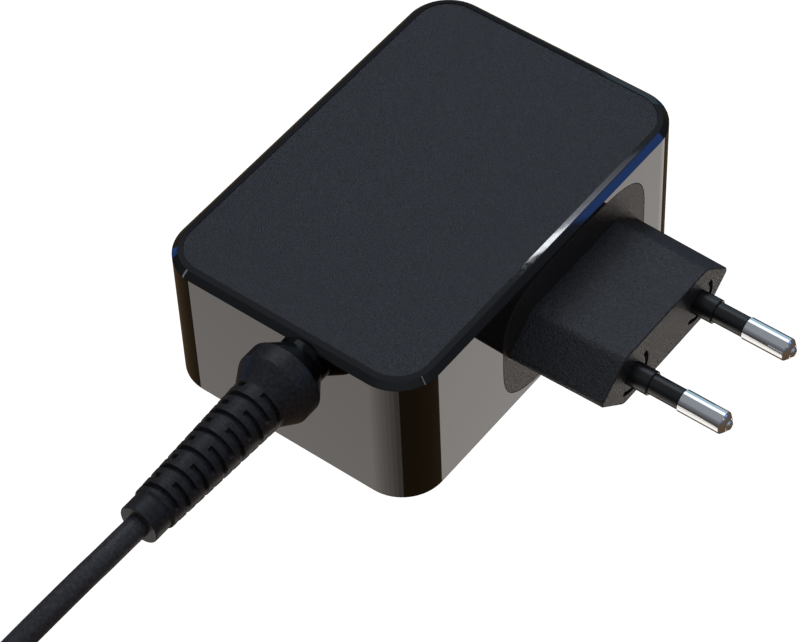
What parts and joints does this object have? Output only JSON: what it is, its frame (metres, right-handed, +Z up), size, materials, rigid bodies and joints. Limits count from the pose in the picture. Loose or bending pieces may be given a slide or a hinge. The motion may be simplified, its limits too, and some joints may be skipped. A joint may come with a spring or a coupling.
{
  "type": "wall-plug laptop power adapter",
  "caption": "Boxy wall-plug power adapter with a round-pin plug head on its long side, a ribbed strain relief on its short side and a coiled DC lead with a barrel plug.",
  "frame": {"origin": "centre of the case's bottom face, on the surface it rests on", "axes": "+X along the plug pins as they point, -Y along the lead as it leaves, +Z up through the cover"},
  "size_m": [0.1018, 0.227, 0.0312],
  "materials": {
    "gloss_case": "polished black moulding, mirror gloss",
    "cover": "dark slate, fine spark-eroded grain on the top field, polished border and rim",
    "plug_plastic": "black moulded plastic with a fine grain",
    "pin_metal": "bright nickel plate",
    "sleeve_plastic": "black satin plastic",
    "boot_rubber": "soft black, satin",
    "lead_jacket": "black flexible jacket, satin",
    "tie_plastic": "black strap",
    "dc_plug_plastic": "black overmoulding",
    "barrel_metal": "nickel plate",
    "insulator": "yellow tip insulator",
    "spring_metal": "phosphor bronze",
    "lead_wire": "insulated stranded wire",
    "board": "glass-fibre laminate with green resist",
    "sheet": "thin polyester film",
    "ceramic_body": "coated ceramic",
    "dark_ceramic": "coated thermistor disc",
    "blue_ceramic": "blue epoxy coating",
    "film_box": "yellow box film capacitor",
    "ferrite": "dark grey ferrite",
    "copper_winding": "enamelled copper wire",
    "winding_tape": "yellow polyester tape",
    "bobbin_plastic": "phenolic moulding",
    "epoxy": "moulded epoxy package",
    "opto_white": "white epoxy package",
    "can_blue": "capacitor can in a printed-free sleeve",
    "can_dark": "capacitor can in a dark sleeve",
    "heatsink": "sheared sheet"
  },
  "bodies": {
    "adapter": {"case_shell": "gloss_case", "top_cover": "cover", "contact_springs": "spring_metal", "strain_relief": "boot_rubber", "dc_leads": "lead_wire", "dc_cable": "lead_jacket", "dc_cable_coil": "lead_jacket", "dc_cable_tail": "lead_jacket", "cable_tie": "tie_plastic", "dc_plug_body": "dc_plug_plastic", "dc_plug_barrel": "barrel_metal", "dc_plug_insulator": "insulator", "dc_plug_contact": "barrel_metal", "main_board": "board", "insulation_sheet": "sheet", "fuse": "ceramic_body", "thermistor": "dark_ceramic", "varistor": "blue_ceramic", "x_capacitor": "film_box", "choke_core": "ferrite", "choke_windings": "copper_winding", "bridge_rectifier": "epoxy", "bulk_capacitors": "can_blue", "switch_transistor": "epoxy", "primary_heatsink": "heatsink", "transformer_core": "ferrite", "transformer_bobbin": "bobbin_plastic", "transformer_winding": "winding_tape", "y_capacitor": "blue_ceramic", "controller_chip": "epoxy", "optocoupler": "opto_white", "output_rectifier": "epoxy", "output_heatsink": "heatsink", "output_capacitors": "can_dark", "output_inductor": "ferrite"},
    "plug_head": {"plug_head": "plug_plastic", "plug_pin_front": "pin_metal", "plug_pin_rear": "pin_metal", "pin_sleeve_front": "sleeve_plastic", "pin_sleeve_rear": "sleeve_plastic"}
  },
  "joints": [
    {"name": "plug_head_slide", "type": "slide", "parent": "adapter", "child": "plug_head", "axis": [1, 0, 0], "range_m": [0, 0.014]}
  ]
}
